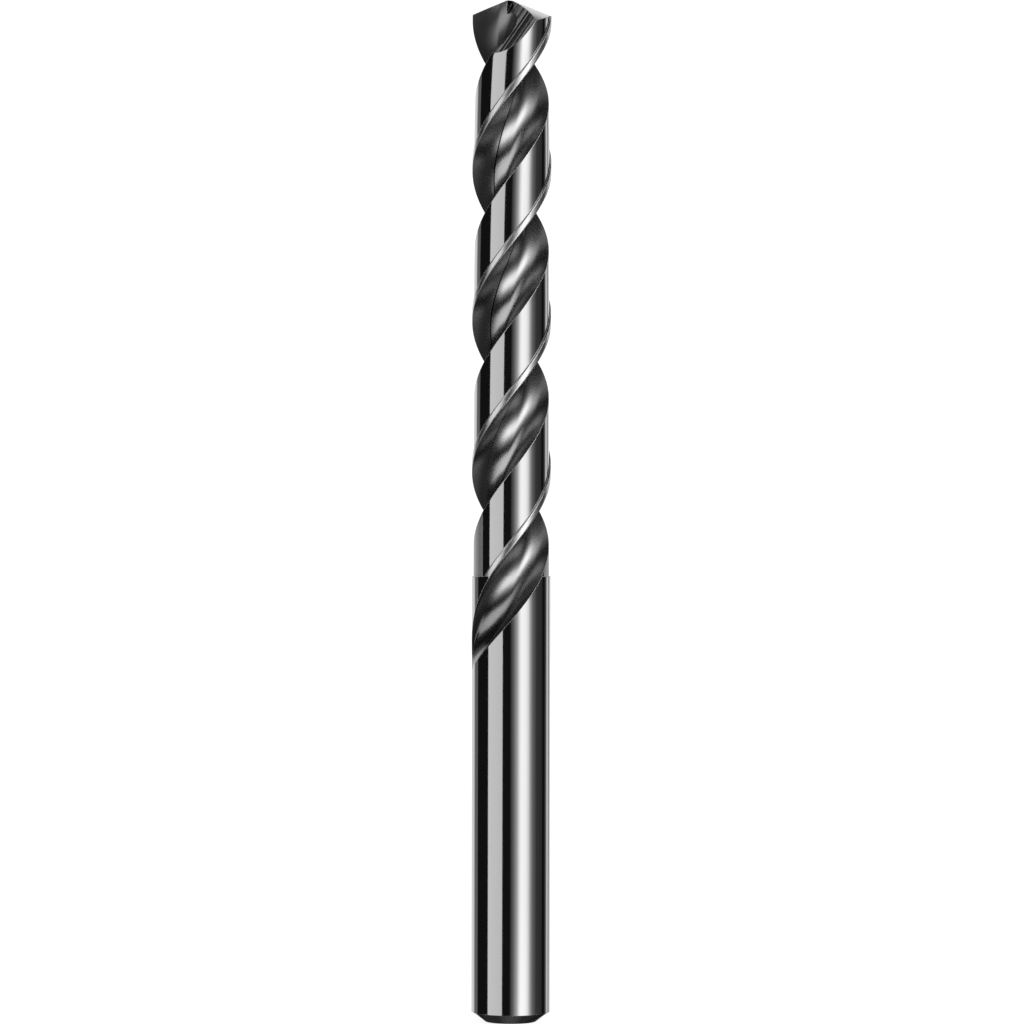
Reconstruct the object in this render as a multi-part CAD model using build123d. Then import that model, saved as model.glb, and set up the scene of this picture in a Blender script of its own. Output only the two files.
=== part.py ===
from build123d import *
import math
import os

# Jobber-length twist drill, ground from one round bar. Millimetres.
# The drill stands on the flat end of its shank, with its point up and its axis on Z.
# Angles in plan run from +X towards +Y, the way the drill turns when it cuts.

# Overall form
diameter = 10.3
overall_length = 133.0
flute_length = 86.4
helix_angle = 39.5
back_taper = 0.04
lip_corner_turn = 6.5

# Shank end
end_chamfer_width = 1.67
end_chamfer_height = 1.25

# Lands: a margin at full diameter, and a body ground lower behind it
margin_width = 1.03
body_clearance = 0.24
clearance_length = 75.1

# Flutes at the point, and how they change with each millimetre towards the shank
web_half_at_point = 1.08
web_growth = 0.0115
flute_opening_at_point = 102.2
opening_loss = 0.21
crease_radius_at_point = 1.75
crease_growth = 0.0235
crease_lead_at_point = 11.0
crease_lead_loss = 0.11
rake_hollow = 0.13
floor_share = 0.587
heel_straight = 0.4

# Flute run-out: the wheel lifts clear over this length
run_out_length = 13.0
run_out_turn = 78.0

# Point
point_angle = 135.0
lip_relief = 4.0
flank_radius = 9.0

# Split point: a notch ground across the web from each side
split_core = 0.24
split_rake_turn = -30.0
split_rake_undercut = 6.0
split_heel_turn = -112.0
split_heel_rise = 34.3
split_depth = 0.2

# Sizes that follow from these
radius = diameter / 2
shank_radius = radius - back_taper / 2
body_radius = radius - body_clearance
lead = math.pi * diameter / math.tan(math.radians(helix_angle))
lip_drop = math.tan(math.radians(90 - point_angle / 2))
corner_z = overall_length - radius * lip_drop
flute_end_z = overall_length - flute_length
clearance_z = overall_length - clearance_length
margin_turn = math.degrees(margin_width / radius)
lip_offset_turn = math.degrees(math.asin(web_half_at_point / radius))
lip_turn = lip_corner_turn - lip_offset_turn

# Room that the cutting shapes take outside the bar and above the point
spare = 1.0
rake_overrun = 0.6
row_step = 4.0


def polar(distance, turn):
    """A point in plan, by its distance from the axis and its angle in degrees."""
    angle = math.radians(turn)
    return Vector(distance * math.cos(angle), distance * math.sin(angle))


def edge_turn(z):
    """Angle of the first flute's leading edge at height z."""
    return lip_corner_turn + 360 * (z - corner_z) / lead


def arc_from(start, direction, end):
    """The arc that leaves start along direction and reaches end, as one smooth curve."""
    chord = end - start
    along = chord.normalized()
    arriving = along * (2 * direction.dot(along)) - direction
    half_turn = math.acos(direction.dot(along))
    size = chord.length / (2 * math.sin(half_turn))
    handle = 4 / 3 * math.tan(half_turn / 2) * size
    return Bezier(start, start + direction * handle, end - arriving * handle, end)


def flute_section(z):
    """The flute's cross-section at height z, closed outside the bar."""
    below = overall_length - z
    web_half = web_half_at_point + web_growth * below
    opening = flute_opening_at_point - opening_loss * below
    crease_radius = crease_radius_at_point + crease_growth * below
    crease_lead = crease_lead_at_point - crease_lead_loss * below
    floor_turn = floor_share * opening

    rising = max(0.0, flute_end_z + run_out_length - z) / run_out_length
    lift = polar((radius - web_half) * rising ** 2, run_out_turn)
    corner = polar(radius, 0) + lift
    crease = polar(crease_radius, crease_lead) + lift
    floor = polar(web_half, floor_turn) + lift
    heel = polar(body_radius - heel_straight, opening) + lift
    along_floor = polar(1, floor_turn + 90)

    face = corner - crease
    behind_face = Vector(face.Y, -face.X).normalized()
    reach = 1 + rake_overrun
    rake_outer = crease + face * reach - behind_face * (4 * rake_hollow * reach * (reach - 1))
    rake_pull = crease + face * (reach / 2) + behind_face * (2 * rake_hollow * reach)
    heel_side = arc_from(floor, along_floor, heel)
    heel_outer = heel + heel_side % 1 * (2 * spare)
    outline = [
        Bezier(rake_outer, rake_pull, crease),
        arc_from(floor, along_floor * -1, crease),
        heel_side,
        Line(heel, heel_outer),
        Line(heel_outer, polar(4 * radius, opening)),
        Line(polar(4 * radius, opening), polar(4 * radius, 0)),
        Line(polar(4 * radius, 0), rake_outer),
    ]
    return Pos(0, 0, z) * Rot(0, 0, edge_turn(z)) * make_face(outline)


def clearance_section(z):
    """The band behind the first margin at height z, as far as the next flute."""
    start = -margin_turn
    end = floor_share * flute_opening_at_point - 180
    outline = Polyline(
        polar(radius / 2, start),
        polar(2 * radius, start),
        polar(3 * radius, (start + end) / 2),
        polar(2 * radius, end),
        polar(radius / 2, end),
        close=True,
    )
    return Pos(0, 0, z) * Rot(0, 0, edge_turn(z)) * make_face(outline)


def helical_cutter(section, low):
    """What a section sweeps from height low to just above the point, turning with the helix."""
    high = overall_length + spare
    rows = math.ceil((high - low) / row_step)
    return loft([section(low + (high - low) * row / rows) for row in range(rows + 1)])


def flank_cutter():
    """All that lies above one flank: the flank is part of a round form that holds the lip."""
    reach = 2 * diameter
    turn = math.radians(lip_turn)
    frame = Plane(
        origin=(0, 0, overall_length),
        x_dir=(math.cos(turn), math.sin(turn), -lip_drop),
        z_dir=(lip_drop * math.cos(turn), lip_drop * math.sin(turn), 1),
    )
    ahead = flank_radius * math.sin(math.radians(lip_relief))
    depth = flank_radius * math.cos(math.radians(lip_relief))
    form = Pos(0, web_half_at_point + ahead, -depth) * Rot(0, 90, 0) * Cylinder(flank_radius, 2 * reach)
    above = Pos(0, 0, reach / 2 - depth) * Box(reach, reach, reach)
    return frame * (above - form)


def split_cutter():
    """The notch of the split point: one wall sharpens the web, the other clears the opposite heel."""
    reach = 4 * diameter

    def behind_wall(turn, rise, distance):
        level = math.cos(math.radians(rise))
        facing = Vector(
            level * math.cos(math.radians(lip_turn + turn)),
            level * math.sin(math.radians(lip_turn + turn)),
            math.sin(math.radians(rise)),
        )
        wall = Plane(origin=Vector(0, 0, overall_length) + facing * distance, z_dir=facing)
        return wall * Pos(0, 0, reach / 2) * Box(reach, reach, reach)

    rake_wall = behind_wall(split_rake_turn, -split_rake_undercut, split_core / 2)
    heel_wall = behind_wall(split_heel_turn, split_heel_rise, -split_depth)
    return rake_wall & heel_wall


def opposite(shape):
    """The same cut on the other side of the drill."""
    return Rot(0, 0, 180) * shape


def drill():
    """The whole drill: a bar, its fluting, its clearance and its point."""
    shank = Pos(0, 0, flute_end_z / 2) * Cylinder(shank_radius, flute_end_z)
    rim = shank.edges().group_by(Axis.Z)[0]
    shank = chamfer(rim, end_chamfer_height, end_chamfer_width)
    bar = shank + Pos(0, 0, flute_end_z + flute_length / 2) * Cone(shank_radius, radius, flute_length)
    core = Pos(0, 0, overall_length / 2) * Cylinder(body_radius, 2 * overall_length)
    flute = helical_cutter(flute_section, flute_end_z - spare)
    bar = bar - flute - opposite(flute)
    ground_band = helical_cutter(clearance_section, clearance_z)
    land = bar & ground_band & core
    bar = bar - ground_band - opposite(ground_band)
    bar = bar + land + opposite(land)
    for cutter in (flank_cutter(), split_cutter()):
        bar = bar - cutter - opposite(cutter)
    return bar


os.makedirs("parts", exist_ok=True)
export_step(drill(), "parts/drill_bit.step")
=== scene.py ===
import math

import bpy
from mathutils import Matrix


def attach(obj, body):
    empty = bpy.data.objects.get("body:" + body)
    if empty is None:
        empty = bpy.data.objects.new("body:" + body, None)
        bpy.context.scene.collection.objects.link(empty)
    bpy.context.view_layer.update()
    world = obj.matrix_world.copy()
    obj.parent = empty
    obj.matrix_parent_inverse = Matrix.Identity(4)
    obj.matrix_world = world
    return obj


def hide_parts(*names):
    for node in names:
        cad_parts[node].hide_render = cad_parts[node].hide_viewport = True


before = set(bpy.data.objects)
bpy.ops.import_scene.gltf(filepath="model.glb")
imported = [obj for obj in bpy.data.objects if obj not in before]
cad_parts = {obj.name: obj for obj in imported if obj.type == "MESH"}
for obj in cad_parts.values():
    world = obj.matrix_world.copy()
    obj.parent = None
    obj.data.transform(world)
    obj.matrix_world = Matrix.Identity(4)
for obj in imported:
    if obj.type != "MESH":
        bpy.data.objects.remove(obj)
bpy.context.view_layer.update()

scene = bpy.context.scene


# The drill: one round bar of high-speed steel, hardened, then ground all over. Two helical
# flutes leave two lands, each with a narrow margin at full diameter and a body ground lower
# behind it. The flutes run out into the plain shank, and the point is ground on last.
mm = 0.001
degree = math.pi / 180
drill_sizes = {
    "Length": 133.0 * mm,
    "Radius": 5.15 * mm,
    "Shank Radius": 5.13 * mm,
    "Chamfer Width": 1.67 * mm,
    "Chamfer Height": 1.25 * mm,
    "Body Radius": 4.91 * mm,
    "Heel Fall": 0.12 * mm,
    "Margin Turn": 11.46 * degree,
    "Clearance Length": 75.1 * mm,
    "Flute Length": 86.4 * mm,
    "Edge Turn": 6.5 * degree,
    "Edge Height": 130.867 * mm,
    "Turn per Length": 360 / 39.25 * degree / mm,
    "Web": 1.08 * mm,
    "Web Growth": 0.0115,
    "Opening": 100.0 * degree,
    "Opening Loss": 0.2 * degree / mm,
    "Floor Share": 0.6,
    "Crease Radius": 1.75 * mm,
    "Crease Growth": 0.0235,
    "Crease Lead": 11.0 * degree,
    "Crease Lead Loss": 0.11 * degree / mm,
    "Rake Hollow": 0.13 * mm,
    "Run-out Length": 13.0 * mm,
    "Run-out Turn": 78.0 * degree,
    "Flank Tilt": 22.5 * degree,
    "Flank Turn": -5.605 * degree,
    "Flank Radius": 9.0 * mm,
    "Flank Relief": 4.0 * degree,
}
# The two walls of the notch: the way each faces, its rise, and its distance from the axis
notch_walls = [
    (-30.0 * degree, -6.0 * degree, 0.12 * mm),
    (-112.0 * degree, 34.3 * degree, -0.2 * mm),
]

# How finely the surfaces are divided
row_height = 0.4 * mm
step_height = 0.02 * mm
spare = 1.3 * mm
margin_columns = 6
rake_columns = 14
crease_columns = 10
heel_columns = 32
land_columns = 40
flank_facets = 720
weld_distance = 0.002 * mm
least_flute_depth = 0.02 * mm
sharp_angle = 12 * degree

tree = bpy.data.node_groups.new("twist drill", "GeometryNodeTree")
tree.interface.new_socket("Drill", in_out="OUTPUT", socket_type="NodeSocketGeometry")
drill_inputs = {}
for name in drill_sizes:
    socket = tree.interface.new_socket(name, in_out="INPUT", socket_type="NodeSocketFloat")
    drill_inputs[name] = socket.identifier
group_input = tree.nodes.new("NodeGroupInput")
group_output = tree.nodes.new("NodeGroupOutput")


class Field:
    """A number that varies over the drill, so that the rules of its shape read as plain sums."""

    def __init__(self, socket):
        self.socket = socket

    def __add__(self, other):
        return calc("ADD", self, other)

    def __radd__(self, other):
        return calc("ADD", other, self)

    def __sub__(self, other):
        return calc("SUBTRACT", self, other)

    def __rsub__(self, other):
        return calc("SUBTRACT", other, self)

    def __mul__(self, other):
        return calc("MULTIPLY", self, other)

    def __rmul__(self, other):
        return calc("MULTIPLY", other, self)

    def __truediv__(self, other):
        return calc("DIVIDE", self, other)

    def __rtruediv__(self, other):
        return calc("DIVIDE", other, self)

    def __neg__(self):
        return calc("MULTIPLY", self, -1)


def put(node, socket, value):
    """Links a field or an output to a node's socket, or sets the socket to a plain value."""
    if isinstance(value, Field):
        value = value.socket
    if isinstance(value, bpy.types.NodeSocket):
        node.id_data.links.new(value, node.inputs[socket])
    else:
        node.inputs[socket].default_value = value


def calc(operation, *values):
    """One Math node, in the same tree as the fields that it works on."""
    first = next(value for value in values if isinstance(value, Field))
    node = first.socket.id_data.nodes.new("ShaderNodeMath")
    node.operation = operation
    for index, value in enumerate(values):
        put(node, index, value)
    return Field(node.outputs[0])


def between(value, low, high):
    """The value, kept between low and high."""
    return calc("MINIMUM", calc("MAXIMUM", value, low), high)


def ramp(value, start, end, low=0.0, high=1.0):
    """Goes from low to high while the value goes from start to end."""
    node = value.socket.id_data.nodes.new("ShaderNodeMapRange")
    put(node, "Value", value)
    put(node, "From Min", start)
    put(node, "From Max", end)
    put(node, "To Min", low)
    put(node, "To Max", high)
    return Field(node.outputs["Result"])


class Place:
    """A point or direction in a cross-section of the drill."""

    def __init__(self, x, y):
        self.x, self.y = x, y

    def __add__(self, other):
        return Place(self.x + other.x, self.y + other.y)

    def __sub__(self, other):
        return Place(self.x - other.x, self.y - other.y)

    def __mul__(self, amount):
        return Place(self.x * amount, self.y * amount)

    def dot(self, other):
        return self.x * other.x + self.y * other.y

    def length(self):
        return calc("SQRT", self.dot(self))

    def turn(self):
        return calc("ARCTAN2", self.y, self.x)

    def held_inside(self, radius):
        """The same place, brought in to the radius where it lies outside."""
        return self * calc("MINIMUM", radius / self.length(), 1.0)


def polar(distance, turn):
    """The place at a distance from the axis and a turn from +X towards +Y."""
    return Place(calc("COSINE", turn) * distance, calc("SINE", turn) * distance)


size = {name: Field(group_input.outputs[name]) for name in drill_sizes}
grid_place = tree.nodes.new("GeometryNodeInputPosition")
grid_axes = tree.nodes.new("ShaderNodeSeparateXYZ")
put(grid_axes, 0, grid_place.outputs[0])
place_x, place_y = Field(grid_axes.outputs["X"]), Field(grid_axes.outputs["Y"])
across = place_x + 0.5
up = place_y + 0.5

# Rows: evenly spaced from the step where the body clearance ends, which gets two rows of its
# own. The lowest and highest rows close the ends on the axis.
clearance_height = drill_sizes["Length"] - drill_sizes["Clearance Length"]
rows_below = math.ceil((clearance_height - step_height) / row_height) + 2
rows_above = math.ceil((drill_sizes["Clearance Length"] + spare) / row_height)
rows = rows_below + rows_above + 1
row = up * (rows - 1) - rows_below
under_step = calc("LESS_THAN", row, -0.5)
above_step = 1 - under_step
step_z = size["Length"] - size["Clearance Length"]
raw_z = step_z + row * row_height + under_step * (row_height - step_height)
raw_z = calc("MAXIMUM", raw_z, 0.0)
at_chamfer = calc("COMPARE", raw_z, size["Chamfer Height"], row_height / 2)
z = raw_z + (size["Chamfer Height"] - raw_z) * at_chamfer
open_rows = calc("LESS_THAN", calc("ABSOLUTE", up - 0.5), 0.5 - 0.5 / (rows - 1))

# How each size changes from the point down to the shank
below = size["Length"] - z
flute_end = size["Length"] - size["Flute Length"]
taper = calc("MAXIMUM", (z - flute_end) / size["Flute Length"], 0.0)
chamfered = calc("MAXIMUM", (size["Chamfer Height"] - z) / size["Chamfer Height"], 0.0)
bar = size["Shank Radius"] + (size["Radius"] - size["Shank Radius"]) * taper
bar = bar - size["Chamfer Width"] * chamfered
body = bar + (size["Body Radius"] - bar) * above_step
fall = size["Heel Fall"] * calc("MAXIMUM", (z - step_z) / size["Clearance Length"], 0.0)
web = size["Web"] + size["Web Growth"] * below
opening = size["Opening"] - size["Opening Loss"] * below
floor_turn = opening * size["Floor Share"]
crease_turn = size["Crease Lead"] - size["Crease Lead Loss"] * below
twist = size["Edge Turn"] + (z - size["Edge Height"]) * size["Turn per Length"]

# The run-out: the wheel rises as a square of the way along it, and leaves the bar. Well past
# that, the strips that made the flute close up.
highest = 1.4
rising = between((flute_end + size["Run-out Length"] - z) / size["Run-out Length"], 0.0, highest)
lift = polar((size["Radius"] - web) * rising * rising, size["Run-out Turn"])
present = calc("MINIMUM", (highest - rising) * 3, 1.0)

# The flute: from the leading edge down a slightly hollow face to a crease, and from there
# along two arcs that share the flute's floor, up to the heel
corner = Place(size["Radius"] + lift.x, lift.y)
crease = polar(size["Crease Radius"] + size["Crease Growth"] * below, crease_turn) + lift
floor = polar(web, floor_turn) + lift
heel = polar(size["Body Radius"], opening) + lift
floor_normal = Place(calc("COSINE", floor_turn), calc("SINE", floor_turn))
floor_run = Place(-floor_normal.y, floor_normal.x)


def floor_arc(end, side, edge_radius):
    """The arc from the floor to end: its place at any turn, its turn there and at the surface."""
    chord = end - floor
    arc_radius = chord.dot(chord) / (chord.dot(floor_normal) * 2)
    centre = floor + floor_normal * arc_radius
    run = floor_run * side

    def place(turn):
        inwards = floor_normal * (arc_radius * calc("COSINE", turn))
        return centre - inwards + run * (arc_radius * calc("SINE", turn))

    inward = centre.dot(floor_normal)
    sideways = centre.dot(run)
    reach = calc("SQRT", inward * inward + sideways * sideways)
    level = centre.dot(centre) + arc_radius * arc_radius - edge_radius * edge_radius
    level = level / (arc_radius * 2)
    leaving = calc("ARCCOSINE", calc("MINIMUM", level / reach, 1.0))
    surface_turn = leaving - calc("ARCTAN2", sideways, inward)
    end_turn = calc("ARCSINE", calc("MINIMUM", chord.length() / (arc_radius * 2), 1.0)) * 2
    return place, end_turn, calc("MAXIMUM", surface_turn, 0.0)


heel_arc, _, heel_arc_end = floor_arc(heel, 1.0, body - fall)
crease_arc, crease_arc_turn, crease_surface_turn = floor_arc(crease, -1.0, bar)
crease_arc_end = calc("MINIMUM", crease_arc_turn, crease_surface_turn)
crease_shown = crease_arc(crease_arc_end)
face = corner - crease
face_square = face.dot(face)
face_climb = crease_shown.dot(face)
face_room = face_climb * face_climb - face_square * (crease_shown.dot(crease_shown) - bar * bar)
face_share = (calc("SQRT", calc("MAXIMUM", face_room, 0.0)) - face_climb) / face_square
edge = crease_shown + face * (calc("MAXIMUM", face_share, 0.0) * present)
behind_face = Place(face.y, -face.x) * (1 / face.length())
hollow = size["Rake Hollow"] * across * (1 - across) * present * 4
rake = (edge + (crease_shown - edge) * across + behind_face * hollow).held_inside(bar)

# The land: a margin behind the leading edge, and a body that falls towards the heel
margin_start = edge.turn() - size["Margin Turn"]
land_end = margin_start + math.pi
heel_turn = heel_arc(heel_arc_end).turn()
across_left = 1 - across
land_radius = body - fall * across_left * across_left
land_turn = heel_turn + (land_end - heel_turn) * across

# The crease is kept sharp and painted with its line of shade from just behind the point, and fades towards
# the shank
crease_shows = ramp(below, 7 * mm, 9 * mm) * ramp(below, 78 * mm, 48 * mm)
near_crease = calc("MAXIMUM", across * rake_columns - (rake_columns - 1), 0.0) * crease_shows
past_crease = calc("MAXIMUM", 1 - across * crease_columns, 0.0) * crease_shows


def marked(geometry, name, domain, value):
    """Keeps a value on the mesh. Ground: 0 bar and land, 1 flute, 2 flank, 3 notch, 4 margin."""
    store = tree.nodes.new("GeometryNodeStoreNamedAttribute")
    store.data_type = "FLOAT"
    store.domain = domain
    put(store, "Name", name)
    put(store, "Geometry", geometry)
    put(store, "Value", value)
    return store.outputs[0]


def strip(columns, place, ground, creased=0.0):
    """A strip of faces along the drill, with its place in the cross-section given by a rule."""
    grid = tree.nodes.new("GeometryNodeMeshGrid")
    put(grid, "Size X", 1.0)
    put(grid, "Size Y", 1.0)
    put(grid, "Vertices X", columns + 1)
    put(grid, "Vertices Y", rows)
    place = place * open_rows
    cosine, sine = calc("COSINE", twist), calc("SINE", twist)
    combined = tree.nodes.new("ShaderNodeCombineXYZ")
    put(combined, "X", place.x * cosine - place.y * sine)
    put(combined, "Y", place.x * sine + place.y * cosine)
    put(combined, "Z", z)
    flat = marked(grid.outputs["Mesh"], "ground", "FACE", ground)
    flat = marked(flat, "crease", "POINT", creased)
    formed = tree.nodes.new("GeometryNodeSetPosition")
    put(formed, "Geometry", flat)
    put(formed, "Position", combined.outputs[0])
    return formed.outputs[0]


distance_out = Place(place_x, place_y).length()
inside_bar = calc("LESS_THAN", distance_out, size["Shank Radius"] - least_flute_depth)
crease_side = crease_arc(crease_arc_end * across_left).held_inside(bar)
heel_side = heel_arc(heel_arc_end * across).held_inside(bar)
strips = [
    strip(margin_columns, polar(bar, margin_start + size["Margin Turn"] * across), above_step * 4),
    marked(strip(rake_columns, rake, 1.0, near_crease), "ground", "FACE", inside_bar),
    marked(strip(crease_columns, crease_side, 1.0, past_crease), "ground", "FACE", inside_bar),
    marked(strip(heel_columns, heel_side, 1.0), "ground", "FACE", inside_bar),
    strip(land_columns, polar(land_radius, land_turn), 0.0),
    strip(1, polar(body + (bar - body) * across, land_end), 0.0),
]


def joined(*geometries):
    """The geometries as one, the first one first."""
    node = tree.nodes.new("GeometryNodeJoinGeometry")
    for geometry in reversed(geometries):
        put(node, 0, geometry)
    return node.outputs[0]


def placed(geometry, x=0.0, y=0.0, z=0.0, tilt=0.0, turn=0.0):
    """Tilts the geometry from +Z towards +X, turns it about the axis, then moves it."""
    node = tree.nodes.new("GeometryNodeTransform")
    rotation = tree.nodes.new("ShaderNodeCombineXYZ")
    put(rotation, "Y", tilt)
    put(rotation, "Z", turn)
    shift = tree.nodes.new("ShaderNodeCombineXYZ")
    put(shift, "X", x)
    put(shift, "Y", y)
    put(shift, "Z", z)
    put(node, "Geometry", geometry)
    put(node, "Rotation", rotation.outputs[0])
    put(node, "Translation", shift.outputs[0])
    return node.outputs[0]


half = joined(*strips)
welded = tree.nodes.new("GeometryNodeMergeByDistance")
put(welded, "Geometry", joined(placed(half, turn=math.pi), half))
put(welded, "Distance", weld_distance)


def cut(geometry, cutter, operation="DIFFERENCE"):
    """What is left of the geometry outside the cutter, or with INTERSECT, inside it."""
    node = tree.nodes.new("GeometryNodeMeshBoolean")
    node.operation = operation
    node.solver = "EXACT"
    put(node, "Mesh 1" if operation == "DIFFERENCE" else "Mesh 2", geometry)
    put(node, "Mesh 2", cutter)
    return node.outputs[0]


def block(side):
    """A cube about the origin, to cut with."""
    cube = tree.nodes.new("GeometryNodeMeshCube")
    put(cube, "Size", (side, side, side))
    return cube.outputs["Mesh"]


# The flanks: each is part of a round form that holds the lip, ground by rocking the drill
form_length = 60 * mm
form_cover = 40 * mm
form = tree.nodes.new("GeometryNodeMeshCylinder")
put(form, "Vertices", flank_facets)
put(form, "Radius", size["Flank Radius"])
put(form, "Depth", form_length)
ahead = size["Web"] + size["Flank Radius"] * calc("SINE", size["Flank Relief"])
depth = size["Flank Radius"] * calc("COSINE", size["Flank Relief"])
above = placed(block(form_cover), z=form_cover / 2 - depth)
lying = placed(form.outputs["Mesh"], y=ahead, z=-depth, tilt=math.pi / 2)
flank = marked(cut(above, lying), "ground", "FACE", 2.0)
pointed = welded.outputs[0]
for turn in (0.0, math.pi):
    seated = placed(flank, z=size["Length"], tilt=size["Flank Tilt"], turn=size["Flank Turn"] + turn)
    pointed = cut(pointed, seated)

# The split point: from each side a notch across the web, with one wall under the new short
# lip and the other clearing the opposite heel
walls = []
for wall_turn, wall_rise, wall_distance in notch_walls:
    standing = placed(block(form_length), x=form_length / 2 + wall_distance)
    facing = size["Flank Turn"] + wall_turn
    walls.append(placed(standing, z=size["Length"], tilt=-wall_rise, turn=facing))
notch = marked(cut(*walls, operation="INTERSECT"), "ground", "FACE", 3.0)
split = cut(cut(pointed, notch), placed(notch, turn=math.pi))

# Edges between two ground surfaces stay sharp, and so does the crease
edge_angle = tree.nodes.new("GeometryNodeInputMeshEdgeAngle")
creased = tree.nodes.new("GeometryNodeInputNamedAttribute")
creased.data_type = "FLOAT"
put(creased, "Name", "crease")
folded = calc("GREATER_THAN", Field(edge_angle.outputs["Unsigned Angle"]), sharp_angle)
on_crease = calc("GREATER_THAN", Field(creased.outputs["Attribute"]), 0.9)
smooth_faces = tree.nodes.new("GeometryNodeSetShadeSmooth")
smooth_faces.domain = "FACE"
put(smooth_faces, "Geometry", split)
sharp_edges = tree.nodes.new("GeometryNodeSetShadeSmooth")
sharp_edges.domain = "EDGE"
put(sharp_edges, "Geometry", smooth_faces.outputs[0])
put(sharp_edges, "Selection", calc("MAXIMUM", folded, on_crease))
put(sharp_edges, "Shade Smooth", False)
realized = tree.nodes.new("GeometryNodeRealizeInstances")
put(realized, 0, sharp_edges.outputs[0])


# The finishes: every face is bare steel as the wheel left it. The bar and the lands are ground
# bright, the margins more matt, and the flutes carry a fine grain. The notches show the single
# scratches of a coarse wheel.
bar_grey = 0.58
flute_grey = 0.6
flank_grey = 0.6
notch_grey = 0.5
margin_grey = 0.85
# The painted highlight along rounded edges: the grey it is raised to, and the roughness there
painted_edge_highlight_grey = 1.0
rounded_edge_roughness = 0.6

grinding = bpy.data.node_groups.new("grinding marks and edge highlight", "ShaderNodeTree")
grain_sizes = (
    "Fineness", "Stretch Around", "Stretch Along", "Depth", "Unevenness", "Roughness", "Edge Radius")
for name in grain_sizes:
    grinding.interface.new_socket(name, in_out="INPUT", socket_type="NodeSocketFloat")
for name in ("Roughness", "Height", "Edge"):
    grinding.interface.new_socket(name, in_out="OUTPUT", socket_type="NodeSocketFloat")
grinding.interface.new_socket("Rounded Normal", in_out="OUTPUT", socket_type="NodeSocketVector")
grain_input = grinding.nodes.new("NodeGroupInput")
grain = {name: Field(grain_input.outputs[name]) for name in grain_sizes}
grain_output = grinding.nodes.new("NodeGroupOutput")

# The grain: noise, stretched along or around the drill
grain_place = grinding.nodes.new("ShaderNodeTexCoord")
grain_stretch = grinding.nodes.new("ShaderNodeCombineXYZ")
put(grain_stretch, "X", grain["Stretch Around"])
put(grain_stretch, "Y", grain["Stretch Around"])
put(grain_stretch, "Z", grain["Stretch Along"])
grain_stretched = grinding.nodes.new("ShaderNodeVectorMath")
grain_stretched.operation = "MULTIPLY"
put(grain_stretched, 0, grain_place.outputs["Object"])
put(grain_stretched, 1, grain_stretch.outputs[0])
grain_noise = grinding.nodes.new("ShaderNodeTexNoise")
put(grain_noise, "Vector", grain_stretched.outputs[0])
put(grain_noise, "Scale", grain["Fineness"])
put(grain_noise, "Detail", 3.0)
put(grain_noise, "Roughness", 0.65)
swing = Field(grain_noise.outputs["Fac"]) * 2 - 1
put(grain_output, "Roughness", swing * grain["Unevenness"] + grain["Roughness"])
put(grain_output, "Height", swing * grain["Depth"])

# The edges: rounded a little, and marked where the rounding turns the surface away. The materials use this
# mark to paint a highlight along the edges.
edge_bevel = grinding.nodes.new("ShaderNodeBevel")
edge_bevel.samples = 8
put(edge_bevel, "Radius", grain["Edge Radius"])
edge_true = grinding.nodes.new("ShaderNodeNewGeometry")
edge_match = grinding.nodes.new("ShaderNodeVectorMath")
edge_match.operation = "DOT_PRODUCT"
put(edge_match, 0, edge_bevel.outputs["Normal"])
put(edge_match, 1, edge_true.outputs["Normal"])
put(grain_output, "Edge", ramp(Field(edge_match.outputs["Value"]), 0.99, 0.94))
put(grain_output, "Rounded Normal", edge_bevel.outputs["Normal"])


def ground_steel(name, grey, roughness, unevenness, fineness, around, along, depth, edge_round):
    """Bare ground steel: its grey, its gloss, its grain, how far its edges are rounded, and a painted
    highlight along them.
    """
    material = bpy.data.materials.new(name)
    material.use_nodes = True
    nodes = material.node_tree.nodes
    shader = next(node for node in nodes if node.type == "BSDF_PRINCIPLED")
    put(shader, "Metallic", 1.0)
    marks = nodes.new("ShaderNodeGroup")
    marks.name = "marks"
    marks.node_tree = grinding
    values = (fineness, around, along, depth, unevenness, roughness, edge_round)
    for socket, value in zip(grain_sizes, values):
        put(marks, socket, value)
    # Along the rounded edges the grey is raised as a painted highlight, and the steel is rougher there
    edge_highlight_mask = Field(marks.outputs["Edge"])
    tone = ramp(edge_highlight_mask, 0.0, 1.0, grey, painted_edge_highlight_grey)
    tone.socket.node.name = "tone"
    gloss = ramp(edge_highlight_mask, 0.0, 1.0, marks.outputs["Roughness"], rounded_edge_roughness)
    gloss.socket.node.name = "gloss"
    bump = nodes.new("ShaderNodeBump")
    bump.name = "bump"
    put(bump, "Distance", 1.0)
    put(bump, "Height", marks.outputs["Height"])
    put(bump, "Normal", marks.outputs["Rounded Normal"])
    put(shader, "Base Color", tone)
    put(shader, "Roughness", gloss)
    put(shader, "Normal", bump.outputs["Normal"])
    return material


def place_on_drill(nodes):
    """Where a point of the surface lies: the place itself, and its X, Y and Z."""
    place = nodes.new("ShaderNodeTexCoord").outputs["Object"]
    axes = nodes.new("ShaderNodeSeparateXYZ")
    put(axes, 0, place)
    return place, [Field(axes.outputs[axis]) for axis in "XYZ"]


def along_way(nodes, place, way):
    """How far a place lies along a way."""
    node = nodes.new("ShaderNodeVectorMath")
    node.operation = "DOT_PRODUCT"
    put(node, 0, place)
    put(node, 1, way)
    return Field(node.outputs["Value"])


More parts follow.
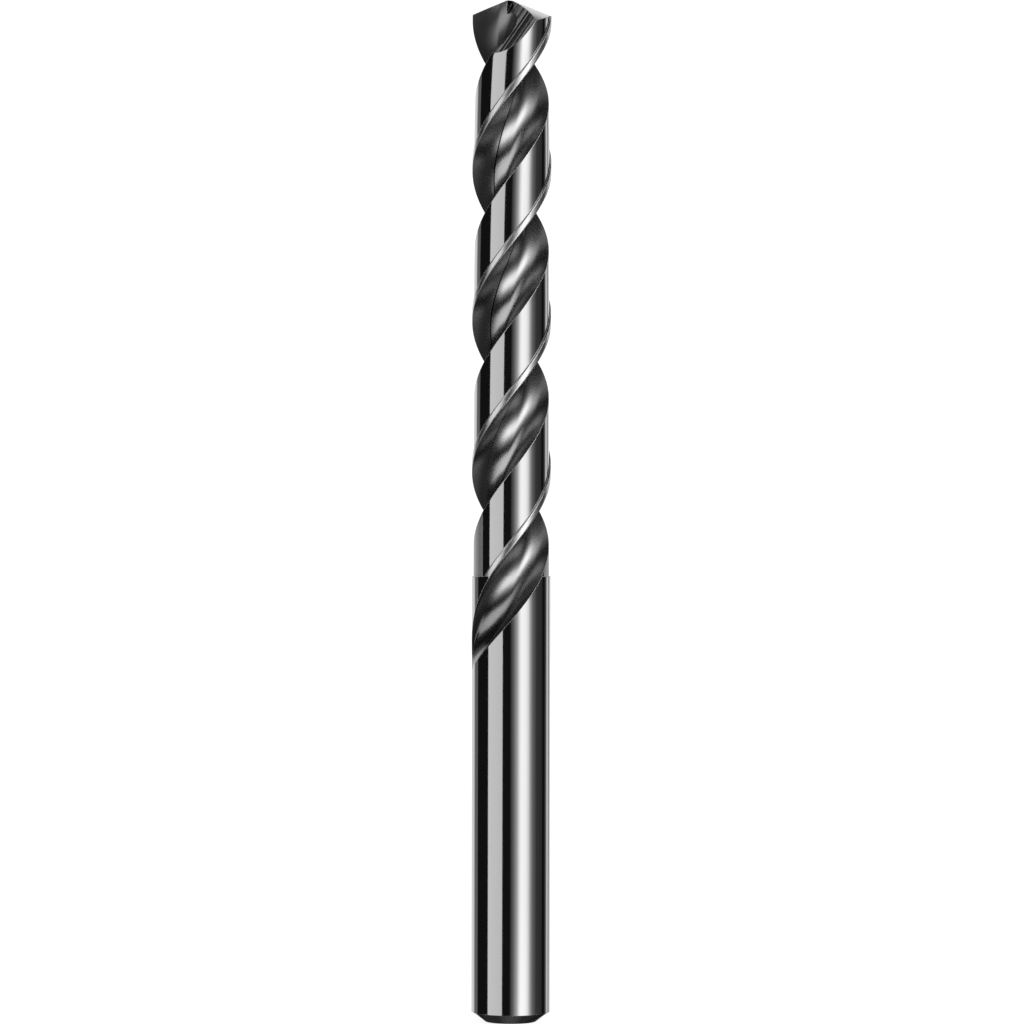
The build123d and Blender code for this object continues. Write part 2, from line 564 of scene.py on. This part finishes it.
# The last of the body clearance is left matt on one side of each land, where its wheel ran out
bar_steel = ground_steel("bright ground bar", bar_grey, 0.07, 0.02, 900, 3.0, 0.15, 0.0, 0.12 * mm)
bar_nodes = bar_steel.node_tree.nodes
bar_marks = bar_nodes["marks"]
_, (bar_x, bar_y, bar_z) = place_on_drill(bar_nodes)
patch_side = calc("PINGPONG", calc("ARCTAN2", bar_y, bar_x) - 5.7 * degree, math.pi / 2)
patch_heights = ramp(bar_z, 57.86 * mm, 57.9 * mm) * ramp(bar_z, 66.4 * mm, 65.8 * mm)
patch = patch_heights * ramp(patch_side, 36.2 * degree, 35.2 * degree)
put(bar_nodes["tone"], "To Min", ramp(patch, 0.0, 1.0, bar_grey, 1.0))
put(bar_nodes["gloss"], "To Min", ramp(patch, 0.0, 1.0, bar_marks.outputs["Roughness"], 0.56))

# Between its chamfer and the step the bar is a true round, which its normal follows
round_middle = 29.56 * mm
round_reach = 28.3 * mm
bar_out = bar_nodes.new("ShaderNodeCombineXYZ")
put(bar_out, "X", bar_x)
put(bar_out, "Y", bar_y)
bar_normal = bar_nodes.new("ShaderNodeVectorTransform")
bar_normal.vector_type = "NORMAL"
bar_normal.convert_from = "OBJECT"
bar_normal.convert_to = "WORLD"
put(bar_normal, 0, bar_out.outputs[0])
bar_round = calc("COMPARE", bar_z, round_middle, round_reach)
bar_shape = bar_nodes.new("ShaderNodeMix")
bar_shape.data_type = "VECTOR"
factor, rounded_normal, round_normal, shape_normal = 0, 4, 5, 1
put(bar_shape, factor, ramp(Field(bar_marks.outputs["Edge"]), 0.0, 1.0, bar_round, 0.0))
put(bar_shape, rounded_normal, bar_marks.outputs["Rounded Normal"])
put(bar_shape, round_normal, bar_normal.outputs[0])
put(bar_nodes["bump"], "Normal", bar_shape.outputs[shape_normal])

# The crease, where the wheel's corner ran, is painted as a thin dark line of shade. The flutes are duller
# at the point, and painted with shade at both ends.
flute_steel = ground_steel(
    "ground flute", flute_grey, 0.25, 0.1, 4500, 1.0, 1.0, 0.004 * mm, 0.1 * mm)
flute_nodes = flute_steel.node_tree.nodes
_, (_, _, flute_z) = place_on_drill(flute_nodes)
flute_crease = flute_nodes.new("ShaderNodeAttribute")
flute_crease.attribute_name = "crease"
flute_tone_and_painted_shade = ramp(Field(flute_crease.outputs["Fac"]), 0.4, 0.7, flute_grey, 0.03)
# Painted shade: the flutes darker towards the shank
flute_tone_and_painted_shade = flute_tone_and_painted_shade * ramp(flute_z, 48 * mm, 60 * mm, 0.45, 1.0)
# Painted shade at the point, which damps the highlight on the lip
flute_tone_and_painted_shade = flute_tone_and_painted_shade * ramp(flute_z, 124 * mm, 127 * mm, 1.0, 0.7)
flute_gloss = flute_nodes["marks"].outputs["Roughness"]
put(flute_nodes["tone"], "To Min", flute_tone_and_painted_shade)
put(flute_nodes["gloss"], "To Min", ramp(flute_z, 124 * mm, 127 * mm, flute_gloss, 0.38))

# The single scratches of the notches, along the wheel's way through each notch
notch_steel = ground_steel("ground notch", notch_grey, 0.3, 0.1, 2500, 1.0, 1.0, 0.0, 0.03 * mm)
notch_nodes = notch_steel.node_tree.nodes
notch_place, (_, _, notch_z) = place_on_drill(notch_nodes)
scratch_across = along_way(notch_nodes, notch_place, (0.769, -0.591, 0))
notch_side = calc("SIGN", along_way(notch_nodes, notch_place, (0.232, -0.973, 0)))
scratches = notch_nodes.new("ShaderNodeTexNoise")
scratches.noise_dimensions = "1D"
put(scratches, "W", scratch_across * notch_side + notch_z * -0.245)
put(scratches, "Scale", 9000)
put(scratches, "Detail", 2.5)
put(notch_nodes["tone"], "To Min", ramp(Field(scratches.outputs["Fac"]), 0.55, 0.65, 0.03, 1.0))

finishes = [
    bar_steel,
    flute_steel,
    ground_steel("ground flank", flank_grey, 0.28, 0.05, 2500, 1.0, 1.0, 0.0, 0.03 * mm),
    notch_steel,
    ground_steel("matt margin", margin_grey, 0.3, 0.05, 1800, 1.0, 0.3, 0.0, 0.3 * mm),
]
ground = tree.nodes.new("GeometryNodeInputNamedAttribute")
ground.data_type = "FLOAT"
put(ground, "Name", "ground")
finished = realized.outputs[0]
for index, material in enumerate(finishes):
    setter = tree.nodes.new("GeometryNodeSetMaterial")
    put(setter, "Geometry", finished)
    put(setter, "Selection", calc("COMPARE", Field(ground.outputs["Attribute"]), float(index), 0.4))
    put(setter, "Material", material)
    finished = setter.outputs[0]
put(group_output, 0, finished)

drill = bpy.data.objects.new("drill", bpy.data.meshes.new("drill blank"))
scene.collection.objects.link(drill)
modifier = drill.modifiers.new("twist drill", "NODES")
modifier.node_group = tree
for name, value in drill_sizes.items():
    modifier[drill_inputs[name]] = value
dressed = bpy.data.meshes.new_from_object(drill.evaluated_get(bpy.context.evaluated_depsgraph_get()))
drill.modifiers.remove(modifier)
drill.data = dressed
dressed.name = "drill"
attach(drill, "root")
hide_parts("drill_bit")


# The light: soft curved cards on a wide ring round the drill, as a product photographer sets
# them for polished steel. A round bar shows each card as one upright band, because it turns a
# card's direction into a place across the bar. The room beyond them is dark.
card_distance = 2000.0 * mm
card_step = 3
drill_middle = 66.0 * mm
room_grey = 0.009
backdrop_white = 1.1
second_bounce = 0.35

world = bpy.data.worlds.new("dark room")
world.use_nodes = True
background = next(node for node in world.node_tree.nodes if node.type == "BACKGROUND")
seen = world.node_tree.nodes.new("ShaderNodeLightPath")
put(background, "Color", (1, 1, 1, 1))
put(background, "Strength", ramp(Field(seen.outputs["Is Camera Ray"]), 0.0, 1.0, room_grey, backdrop_white))
scene.world = world
scene.view_settings.view_transform = "Standard"

card_light = bpy.data.materials.new("card light")
card_light.use_nodes = True
card_nodes = card_light.node_tree.nodes
card_nodes.clear()
card_grade = card_nodes.new("ShaderNodeAttribute")
card_grade.attribute_name = "brightness"
card_path = card_nodes.new("ShaderNodeLightPath")
card_share = ramp(Field(card_path.outputs["Ray Depth"]), 1.0, 2.0, 1.0, second_bounce)
card_glow = card_nodes.new("ShaderNodeEmission")
put(card_glow, "Strength", Field(card_grade.outputs["Fac"]) * card_share)
card_surface = card_nodes.new("ShaderNodeOutputMaterial")
put(card_surface, "Surface", card_glow.outputs["Emission"])


def stepped(stops):
    """Fills in the stops every few degrees, in even steps."""
    filled = [stops[0]]
    for start, end in zip(stops, stops[1:]):
        steps = max(1, round(abs(end[0] - start[0]) / card_step))
        for step in range(1, steps + 1):
            filled.append([a + (b - a) * step / steps for a, b in zip(start, end)])
    return filled


def card(name, columns, rows):
    """A curved card. Columns: turn from the camera's side, level. Rows: rise, share, lean."""
    points, faces, brightness = [], [], []
    columns, rows = stepped(columns), stepped(rows)
    for rise, share, lean in rows:
        height = math.radians(rise)
        reach = card_distance * math.cos(height)
        for turn, level in columns:
            angle = math.radians(turn + lean)
            point_z = drill_middle + card_distance * math.sin(height)
            points.append((reach * math.sin(angle), -reach * math.cos(angle), point_z))
            brightness.append(level * share)
    for row in range(len(rows) - 1):
        for column in range(len(columns) - 1):
            first = row * len(columns) + column
            over = first + len(columns)
            faces.append((first, first + 1, over + 1, over))
    mesh = bpy.data.meshes.new(name)
    mesh.from_pydata(points, [], faces)
    grade = mesh.attributes.new("brightness", "FLOAT", "POINT")
    grade.data.foreach_set("value", brightness)
    mesh.materials.append(card_light)
    made = bpy.data.objects.new(name, mesh)
    scene.collection.objects.link(made)
    made.visible_camera = False


card("white card behind",
     [(144, 0.3), (154, 0.9), (222, 0.9), (228, 0.3)],
     [(-26, 0, 0), (-21, 1, 0), (9, 1, 0), (14, 1.25, 0), (44, 1.1, 0), (56, 0.6, 0), (66, 0.1, 0)])
card("grey card, far left",
     [(-133, 0.19), (-114, 0.17)],
     [(-12, 1, 0), (14, 1, 0)])
card("key card, left",
     [(-68.8, 0.92), (-23.5, 0.83)],
     [(-30, 0, -10), (-20, 0.7, -14), (-10, 1, -2), (8, 1, 0), (18, 1.05, 14), (26, 0.45, 22),
      (34, 0, 26)])
card("graded card, right",
     [(-2, 0.02), (8, 0.18), (18, 0.55), (26, 1.3), (31, 1.55), (44, 1.45), (52, 1.1), (58, 0.55),
      (66, 0.2), (80, 0.055), (104, 0.035)],
     [(-34, 0.02, 0), (-28, 0.35, 0), (-20, 1.1, -5), (-10, 1.1, -1), (-7, 1, 0), (8, 1, 0),
      (13, 1.2, 7), (30, 1.25, 9), (38, 0.75, 4), (48, 0.5, -6), (58, 0.35, -20), (72, 0.12, -25)])
card("edge card, far right",
     [(116, 0.03), (124, 0.12), (130, 0.8), (141, 0.7)],
     [(-12, 1, 0), (14, 1, 0)])
card("fill from below",
     [(-180, 0.3), (180, 0.3)],
     [(-88, 0.3, 0), (-68, 0.3, 0), (-60, 0.1, 0), (-34, 0.1, 0)])
card("fill from above",
     [(-180, 0.4), (180, 0.4)],
     [(77, 0, 0), (80, 1, 0), (88, 1, 0)])
card("top card, left",
     [(-140, 0.45), (-60, 0.45)],
     [(46, 0, 0), (52, 1, 0), (70, 1, 0), (74, 0, 0)])


# The table: a plain white board, matt, lit so that it runs into the room with no edge. The
# drill stands on it on the flat end of its shank.
table_reach = 1200.0 * mm
table_corners = [(table_reach * x, table_reach * y, 0) for x, y in ((-1, -1), (1, -1), (1, 1), (-1, 1))]
table_mesh = bpy.data.meshes.new("white table")
table_mesh.from_pydata(table_corners, [], [(0, 1, 2, 3)])
table_white = bpy.data.materials.new("white table")
table_white.use_nodes = True
table_shader = next(node for node in table_white.node_tree.nodes if node.type == "BSDF_PRINCIPLED")
put(table_shader, "Base Color", (0.8, 0.8, 0.8, 1))
put(table_shader, "Roughness", 1.0)
put(table_shader, "Specular IOR Level", 0.0)
put(table_shader, "Emission Color", (1, 1, 1, 1))
put(table_shader, "Emission Strength", 0.88)
table_mesh.materials.append(table_white)
table = bpy.data.objects.new("white table", table_mesh)
scene.collection.objects.link(table)
table.visible_glossy = False


# The camera: a long lens, level, half the drill's height above the table. It leans by a tenth
# of a degree, so that the drill stands upright in the picture.
camera_data = bpy.data.cameras.new("camera")
camera_data.lens = 135.4
camera_data.sensor_width = 36.0
camera = bpy.data.objects.new("camera", camera_data)
camera.location = (0.085 * mm, -501.7 * mm, 66.24 * mm)
camera.rotation_euler = (math.pi / 2, -0.0016, 0)
scene.collection.objects.link(camera)
scene.camera = camera
